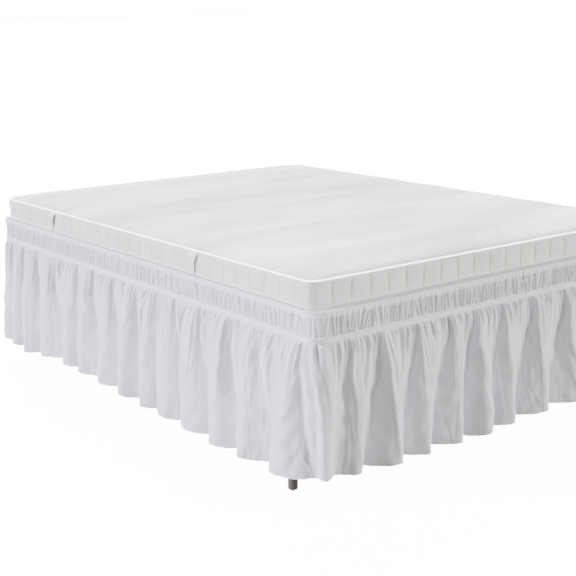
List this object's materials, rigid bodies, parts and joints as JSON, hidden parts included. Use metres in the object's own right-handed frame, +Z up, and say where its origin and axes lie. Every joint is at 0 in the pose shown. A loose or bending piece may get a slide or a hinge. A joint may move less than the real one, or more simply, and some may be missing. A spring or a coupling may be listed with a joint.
{
  "type": "bed skirt on a bed with a mattress",
  "caption": "Gathered wrap-around bed skirt with a shirred heading between elastic tapes, on a plain box bed base with round legs and a thin mattress with a piped edge.",
  "frame": {"origin": "on the floor under the middle of the bed, in the plane of the legs' feet", "axes": "+Z up; +Y along the bed from its foot to its head; +X across the bed, to the right of someone who stands at the foot and looks at the head"},
  "size_m": [1.728, 2.268, 0.702],
  "materials": {
    "skirt_cloth": "brushed plain-weave microfibre, white with a cool cast",
    "elastic_tape": "white ribbed elastic under a fold of the skirt's cloth",
    "mattress_ticking": "white knitted ticking, soft and matt",
    "piping_cloth": "white cord covering and handle webbing",
    "base_cloth": "plain off-white upholstery cloth",
    "leg_finish": "dark brown powder coat"
  },
  "bodies": {
    "root": {"upper_band": "elastic_tape", "heading": "skirt_cloth", "lower_band": "elastic_tape", "ruffle": "skirt_cloth", "mattress": "mattress_ticking", "piping": "piping_cloth", "handle_left_1": "piping_cloth", "handle_left_2": "piping_cloth", "handle_right_1": "piping_cloth", "handle_right_2": "piping_cloth", "base": "base_cloth", "leg_left_foot": "leg_finish", "leg_left_head": "leg_finish", "leg_right_foot": "leg_finish", "leg_right_head": "leg_finish", "leg_centre": "leg_finish"}
  },
  "joints": []
}
